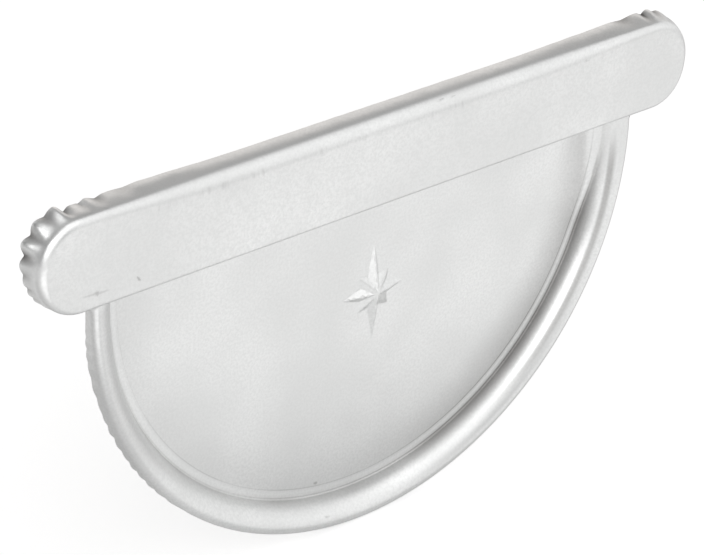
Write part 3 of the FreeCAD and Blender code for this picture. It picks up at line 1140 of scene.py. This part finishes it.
            # The fold under the band carries full painted shade
            folds.append([skin.add(place, {Mark.CREASE_SHADE: 1.0}) for place in line])
        skin.grid(folds)
        ring = []
        for turn, height in self.stations(0.0):
            x, z = self.field_radius * math.cos(turn), self.field_radius * math.sin(turn) + height
            ring.append(skin.add(Vector((x, self.faded(x, z, -self.thickness), z))))
        outline = ring + [row[0] for row in reversed(folds)][1:-1]

        def level(x: float, z: float) -> float:
            """Depth of the field's front.

            Args:
                x: place across the field.
                z: height of the place.

            Returns:
                The depth, with the star, the fading foot of the ridge and a slight unevenness.
            """
            inside = self.field_radius - math.hypot(x, min(z, 0.0))
            ease = part_of(inside, 0.0, self.ring_ease) * part_of(self.side_height - z, 0.0, self.fold_ease)
            return self.faded(x, z, -self.thickness) - self.star_level(x, z) - ease * self.uneven(x, z)

        skin.fill(outline, [self.star_ring(share) for share in self.star_rings], self.field_places(), level)

    def field_places(self) -> list[Vector]:
        """Places inside the field, in rings along its edge and a lattice clear of the star.

        Returns:
            The places, in the XZ plane.
        """
        places = []
        for inset, spacing in self.edge_rings:
            radius = self.field_radius - inset
            count = int(math.pi * radius / spacing)
            places.extend(Vector((radius * math.cos(math.pi * step / count), 0.0,
                                  -radius * math.sin(math.pi * step / count))) for step in range(1, count))
        star = Vector((self.star_centre[0], 0.0, self.star_centre[1]))
        places.extend(
            place for place in self.scatter(self.field_radius, -self.field_radius, self.side_height,
                                            self.field_lattice)
            if math.hypot(place.x, min(place.z, 0.0)) < self.field_radius - self.ring_margin
            and place.z < self.side_height - self.fold_margin and (place - star).length > self.star_up)
        return places

    def scatter(self, half: float, low: float, high: float, spacing: float) -> list[Vector]:
        """Places of a triangular lattice in the XZ plane.

        Args:
            half: half the lattice's width.
            low: height of its lowest row.
            high: height that it stays below.
            spacing: distance between neighbours.

        Returns:
            The places, row by row.
        """
        places = []
        rise = spacing * math.sqrt(3) / 2
        count = int(half / spacing)
        for row in range(int((high - low) / rise)):
            shift = spacing / 2 if row % 2 else 0.0
            places.extend(Vector((column * spacing + shift, 0.0, low + row * rise))
                          for column in range(-count, count + 1))
        return places

    def bend(self, x: float, up: float) -> float:
        """Radius of the band's bend, tight along its underside and wide over the middle of its top.

        Args:
            x: place along the band.
            up: z of the outward direction.

        Returns:
            The radius.
        """
        from_ear = self.ear_centre - abs(x - self.band_shift)
        upper = self.ear_bend + (self.top_bend - self.ear_bend) * smooth_part(from_ear, 0.0, self.bend_run)
        return self.under_bend + (upper - self.under_bend) * smooth_part(up, *self.bend_facing)

    def lean(self, up: float) -> float:
        """Slope of the flange just behind the bend, which is steepest along the top."""
        return math.radians(self.flange_lean) * smooth_part(up, *self.lean_facing)

    def fold_ends(self, side: int) -> list[tuple[float, float]]:
        """Places where the rim's section meets the band's underside.

        Args:
            side: -1 for the left side, 1 for the right.

        Returns:
            The x and y of each, from the flange inwards.
        """
        ends = []
        for radius, y, across, ahead, _ in self.section()[self.flange_steps + 1:]:
            depth = y if across > self.flange_facing else self.faded(side * radius, 0.0, y)
            ends.append((side * (radius + across * self.fold_size(across)), depth + ahead * self.fold_radius))
        return ends

    def band_columns(self) -> list[tuple[float, float, float, float, float | None]]:
        """Places round the band's outline, starting under its left ear.

        Returns:
            For each its x, z, outward direction, and the depth where the wall ends, or None at a flange.
        """
        radius, middle = self.band_height / 2, self.side_height + self.band_height / 2
        left, right = self.band_shift - self.ear_centre, self.band_shift + self.ear_centre
        corner = self.rim_radius + self.corner_radius
        parts = [step / self.under_steps for step in range(self.under_steps + 1)]
        under = [(left + (-corner - left) * part, None) for part in parts]
        under.extend(self.fold_ends(-1))
        under.extend((x, self.faded(x, 0.0, -self.thickness) - self.fold_radius)
                     for x in self.field_columns[1:-1])
        under.extend(reversed(self.fold_ends(1)))
        under.extend((corner + (right - corner) * part, None) for part in parts)
        columns = [(x, self.side_height, 0.0, -1.0, end) for x, end in under]
        top = [(right + (left - right) * step / self.top_steps, middle + radius, 0.0, 1.0, None)
               for step in range(self.top_steps + 1)]
        for side, centre, following in ((1, right, top), (-1, left, [])):
            for step in range(1, self.ear_steps):
                turn = side * math.pi / 2 * (2 * step / self.ear_steps - 1)
                across, up = side * math.cos(turn), math.sin(turn)
                columns.append((centre + radius * across, middle + radius * up, across, up, None))
            columns.extend(following)
        return columns

    def along_ear(self, x: float, across: float, up: float) -> float:
        """Place along an ear's flange, from its outermost point upwards."""
        beyond = max(0.0, self.ear_centre - abs(x - self.band_shift))
        return self.band_height / 2 * math.atan2(up, abs(across)) + math.copysign(beyond, up)

    def draw_band(self, skin: Skin) -> None:
        """Draw the band's walls, its bend and its face.

        Args:
            skin: the surface to draw on.
        """
        loop = [self.band_column(skin, *column) for column in self.band_columns()]
        for column, following in zip(loop, loop[1:] + loop[:1]):
            rows = min(len(column), len(following))
            skin.grid([column[:rows], following[:rows]])
        self.draw_band_face(skin, [column[0] for column in loop])

    def band_column(self, skin: Skin, x: float, z: float, across: float, up: float,
                    wall_end: float | None) -> list[int]:
        """Draw one line of points over the band's bend and back along its wall or flange.

        Args:
            skin: the surface to draw on.
            x: place of the line along the band.
            z: its height.
            across: x of the outward direction.
            up: z of the outward direction.
            wall_end: depth where the wall ends, or None at a flange.

        Returns:
            The points' numbers, from the band's face to the end.
        """
        outward, base = Vector((across, 0.0, up)), Vector((x, 0.0, z))
        bend, lean = self.bend(x, up), self.lean(up)
        bend_y = bend * (1 - math.sin(lean)) - self.band_front
        sunk, run = bend * (1 - math.cos(lean)), -self.flange_end - bend_y
        folds = self.left_folds if x < 0 else self.right_folds
        column = []
        for step in range(self.bend_steps):
            part = step / self.bend_steps
            turn = lean + (math.pi / 2 - lean) * (1 - part)
            depth = Vector((0.0, bend * (1 - math.sin(turn)) - self.band_front, 0.0))
            # The inner half of the bend under the band carries painted shade
            crease_shade = max(0.0, 2 * part - 1) if up == -1.0 else 0.0
            place = base - outward * (bend * (1 - math.cos(turn))) + depth
            column.append(skin.add(place, {Mark.CREASE_SHADE: crease_shade}))
        crimped = wall_end is None and z > self.side_height
        if crimped:
            ys = [bend_y + run * step / self.band_flange_steps for step in range(self.band_flange_steps + 1)]
        else:
            deep = [row[1] for row in reversed(self.section()[:self.flange_steps + 1])]
            end = deep[0] if wall_end is None else wall_end
            ys = [bend_y + (end - bend_y) * step / self.band_wall_steps
                  for step in range(self.band_wall_steps + 1)]
            if wall_end is None:
                ys += [self.trimmed(y, abs(x) - self.rim_radius - self.corner_radius) for y in deep[1:]]
        for y in ys:
            flare = max(0.0, (y - bend_y) / run) if crimped else 0.0
            marks = self.fold_marks(folds, self.along_ear(x, across, up), outward, flare)
            easing = flare - (1 - self.edge_lean) * flare * flare / 2
            out = run * math.tan(lean) * easing - sunk
            column.append(skin.add(base + outward * out + Vector((0.0, y, 0.0)), marks))
        return column

    def draw_band_face(self, skin: Skin, outline: list[int]) -> None:
        """Fill the band's face inside its bend.

        Args:
            skin: the surface to draw on.
            outline: numbers of the points round the face, in order.
        """
        middle = self.side_height + self.band_height / 2
        reach = self.band_height / 2 - self.top_bend

        def inset(x: float, z: float) -> float:
            """Distance inside the face's outline."""
            beyond = max(0.0, abs(x - self.band_shift) - self.ear_centre)
            return reach - math.hypot(beyond, z - middle)

        def level(x: float, z: float) -> float:
            """Depth of the face at one place."""
            return -self.band_front + part_of(inset(x, z), 0.0, self.face_ease) * self.uneven(x, z)

        lattice = self.scatter(self.ear_centre + reach, middle - reach, middle + reach, self.face_lattice)
        places = [place for place in lattice if inset(place.x, place.z) > self.face_margin]
        skin.fill(outline, [], places, level)

    def crimp(self, mesh: bpy.types.Mesh, coat: bpy.types.Material) -> bpy.types.Mesh:
        """Gather the flanges into folds with geometry nodes.

        Args:
            mesh: the drawn sheet with its marks.
            coat: finish that the tree sets.

        Returns:
            The crimped sheet as a plain mesh.
        """
        tree = CrimpTree().build()
        carrier = add_object("crimping", mesh)
        modifier = carrier.modifiers.new("crimps", "NODES")
        modifier.node_group = tree
        values = {"Pinch": 0.2, "Growth": 1.0, "Unevenness": 0.25 * MM,
                  "Seed": float(self.seed), "Finish": coat}
        for item in tree.interface.items_tree:
            if item.in_out == "INPUT" and item.name in values:
                modifier[item.identifier] = values[item.name]
        return plain_mesh(carrier)

    def thicken(self, mesh: bpy.types.Mesh, coat: bpy.types.Material,
                edge: bpy.types.Material) -> bpy.types.Object:
        """Give the sheet its thickness and its finishes.

        Args:
            mesh: the crimped outer surface.
            coat: finish of the faces.
            edge: finish of the sheared edges.

        Returns:
            The finished piece.
        """
        mesh.materials.clear()
        for finish in (coat, edge):
            mesh.materials.append(finish)
        carrier = add_object("thickening", mesh)
        wall = carrier.modifiers.new("wall", "SOLIDIFY")
        wall.thickness = self.thickness
        wall.offset = -1.0
        wall.use_even_offset = True
        wall.use_quality_normals = True
        wall.material_offset_rim = 1
        solid = plain_mesh(carrier)
        solid.name = "pressed_sheet"
        for vertex in solid.vertices:
            vertex.co.y = min(vertex.co.y, 0.0)
        for polygon in solid.polygons:
            polygon.use_smooth = True
        solid.set_sharp_from_angle(angle=math.radians(self.sharp_angle))
        return add_object("pressed_sheet", solid)


@dataclass(frozen=True)
class PhotoCamera:
    """Camera at the photograph's viewpoint, for a picture of 704 by 555 pixels."""

    picture_width: float = 704.0
    focal_pixels: float = 3229.93
    sensor: float = 36.0
    place: tuple[float, ...] = (-0.4291, -0.4862, 0.3224)
    right: tuple[float, ...] = (0.7603, -0.6491, 0.0255)
    up: tuple[float, ...] = (0.2851, 0.3687, 0.8848)
    back: tuple[float, ...] = (-0.5837, -0.6654, 0.4653)

    def build(self) -> None:
        """Make the camera and hand it to the scene."""
        data = bpy.data.cameras.new("photo_camera")
        data.sensor_width = self.sensor
        data.lens = self.focal_pixels / self.picture_width * self.sensor
        data.clip_start, data.clip_end = 0.01, 20.0
        camera = add_object("photo_camera", data)
        turn = Matrix((self.right, self.up, self.back)).transposed().to_4x4()
        camera.matrix_world = Matrix.Translation(self.place) @ turn
        bpy.context.scene.camera = camera


@dataclass(frozen=True)
class Glow:
    """A soft bright or dark area of the studio round the object.

    Attributes:
        azimuth: direction, in degrees from straight ahead of the cap towards +X.
        elevation: height above the horizon, in degrees.
        inner: angle from its middle up to which it is full, in degrees.
        outer: angle at which it has faded out, in degrees.
        level: brightness inside it.
        warmth: share of blue that it lacks.
        green_share: share of that by which it lacks green.
    """

    azimuth: float
    elevation: float
    inner: float
    outer: float
    level: float
    warmth: float = 0.0
    green_share: float = 0.6

    def colour(self) -> tuple[float, ...]:
        """Colour of its light."""
        green, blue = 1 - self.warmth * self.green_share, 1 - self.warmth
        return (self.level, self.level * green, self.level * blue, 1.0)

    def direction(self) -> Vector:
        """Unit vector towards its middle."""
        turn, rise = math.radians(self.azimuth), math.radians(self.elevation)
        return Vector((math.sin(turn) * math.cos(rise), -math.cos(turn) * math.cos(rise), math.sin(rise)))


@dataclass(frozen=True)
class Studio:
    """White floor, soft surroundings and the lamp."""

    floor_reach: float = 6.0
    floor_white: float = 0.55
    floor_seen: float = 0.62
    floor_mirrored: float = 0.55
    floor_shade: float = -0.36
    left_shade: Span = (0.0, -0.06)
    left_share: float = 0.6
    near_shade: Span = (-0.06, -0.005)
    near_end: Span = (0.14, 0.04)
    far_shade: Span = (0.27, 0.5)
    far_share: float = 0.4
    card_place: tuple[float, float] = (-0.165, -0.195)
    card_edge: Span = (0.14, 0.077)
    card_glow: float = 1.0
    surround: float = 0.42
    glows: tuple[Glow, ...] = (
        Glow(135.0, 30.0, 20.0, 34.0, 0.88, 0.06),
        Glow(-146.0, 30.0, 20.0, 50.0, 0.80),
        Glow(-102.0, 49.0, 10.0, 30.0, 0.26),
        Glow(80.0, 10.0, 16.0, 34.0, 0.95),
        Glow(50.0, 32.0, 24.0, 38.0, 0.92),
        Glow(42.0, 12.0, 12.0, 28.0, 1.06),
        Glow(97.0, 57.0, 6.0, 20.0, 0.30),
        Glow(-24.0, 22.0, 22.0, 34.0, 1.15),
        Glow(8.0, 50.0, 20.0, 34.0, 1.30),
    )
    lamp_place: tuple[float, ...] = (-0.90, -1.0, 0.78)
    lamp_size: float = 1.0
    lamp_power: float = 4.0

    def build(self, lowest: float) -> None:
        """Make the floor, the surroundings and the lamp.

        Args:
            lowest: height of the object's lowest point.
        """
        self.floor(lowest)
        self.surroundings()
        self.lamp()
        bpy.context.scene.view_settings.view_transform = "Standard"

    def floor(self, lowest: float) -> None:
        """Make the floor.

        Args:
            lowest: the floor's height.
        """
        mesh = bpy.data.meshes.new("floor")
        corners = [(x * self.floor_reach, y * self.floor_reach, lowest)
                   for x, y in ((-1, -1), (1, -1), (1, 1), (-1, 1))]
        mesh.from_pydata(corners, [], [(0, 1, 2, 3)])
        mesh.materials.append(self.floor_finish(lowest))
        add_object("floor", mesh)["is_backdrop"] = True

    def floor_finish(self, lowest: float) -> bpy.types.Material:
        """White floor that keeps the object's shadow; the object mirrors a greyer one with a bright card.

        Args:
            lowest: the floor's height.

        Returns:
            The new material.
        """
        material, board = new_material("white_floor")
        light = board.add("ShaderNodeLightPath").outputs
        place = board.add("ShaderNodeTexCoord").outputs["Object"]
        axes = board.add("ShaderNodeSeparateXYZ", {"Vector": place}).outputs
        card, away = (board.vector("LENGTH", board.vector("SUBTRACT", place, (*centre, lowest)))
                      for centre in (self.card_place, (0.0, 0.0)))
        left = board.math("MULTIPLY", board.step(axes["X"], *self.left_shade), self.left_share)
        near = board.math("MULTIPLY", board.step(axes["Y"], *self.near_shade),
                          board.step(axes["Y"], *self.near_end))
        far = board.math("MULTIPLY", board.step(away, *self.far_shade), self.far_share)
        shade = board.math("MAXIMUM", board.math("MAXIMUM", left, near), far)
        mirrored = board.math("MULTIPLY_ADD", shade, self.floor_shade, self.floor_mirrored)
        brighter = board.math("SUBTRACT", self.card_glow, mirrored)
        mirrored = board.math("MULTIPLY_ADD", board.step(card, *self.card_edge), brighter, mirrored)
        seen = board.math("MULTIPLY", light["Is Camera Ray"], self.floor_seen)
        shown = board.math("MULTIPLY_ADD", light["Is Glossy Ray"], mirrored, seen)
        matt = board.add("ShaderNodeBsdfDiffuse", {"Color": grey(self.floor_white)})
        glow = board.add("ShaderNodeEmission", {"Strength": shown})
        both = board.add("ShaderNodeAddShader", {0: matt.outputs["BSDF"], 1: glow.outputs["Emission"]})
        board.add("ShaderNodeOutputMaterial", {"Surface": both.outputs["Shader"]})
        return material

    def surroundings(self) -> None:
        """Soft surroundings with bright and dark areas; the camera sees plain white."""
        world = bpy.data.worlds.new("studio")
        world.use_nodes = True
        bpy.context.scene.world = world
        board = NodeBoard(world.node_tree)
        direction = board.add("ShaderNodeTexCoord").outputs["Generated"]
        colour = grey(self.surround)
        for glow in self.glows:
            towards = board.vector("DOT_PRODUCT", direction, glow.direction())
            edge = (math.cos(math.radians(angle)) for angle in (glow.outer, glow.inner))
            colour = board.mix(board.step(towards, *edge), colour, glow.colour())
        camera = board.add("ShaderNodeLightPath").outputs["Is Camera Ray"]
        back = board.add("ShaderNodeBackground", {"Color": board.mix(camera, colour, grey(1.0))})
        board.add("ShaderNodeOutputWorld", {"Surface": back.outputs["Background"]})

    def lamp(self) -> None:
        """Large soft lamp over the camera's shoulder."""
        data = bpy.data.lights.new("soft_lamp", "AREA")
        data.size = self.lamp_size
        data.energy = self.lamp_power
        lamp = add_object("soft_lamp", data)
        lamp.location = self.lamp_place
        lamp.rotation_euler = (-Vector(self.lamp_place)).to_track_quat("-Z", "Y").to_euler()


def main() -> None:
    """Build the end cap and its studio in order."""
    PhotoCamera().build()
    grain, smudge = grain_group(), smudge_group()
    coat = ZincFinish().material(grain, smudge, SMUDGES)
    edge = CutEdgeFinish().material(grain)
    piece = EndCap().build(coat, edge)
    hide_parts(NODE)
    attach(piece, BODY)
    log.info("%s: %d faces", piece.name, len(piece.data.polygons))
    Studio().build(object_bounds()[0].z)


if __name__ == "__main__":
    main()
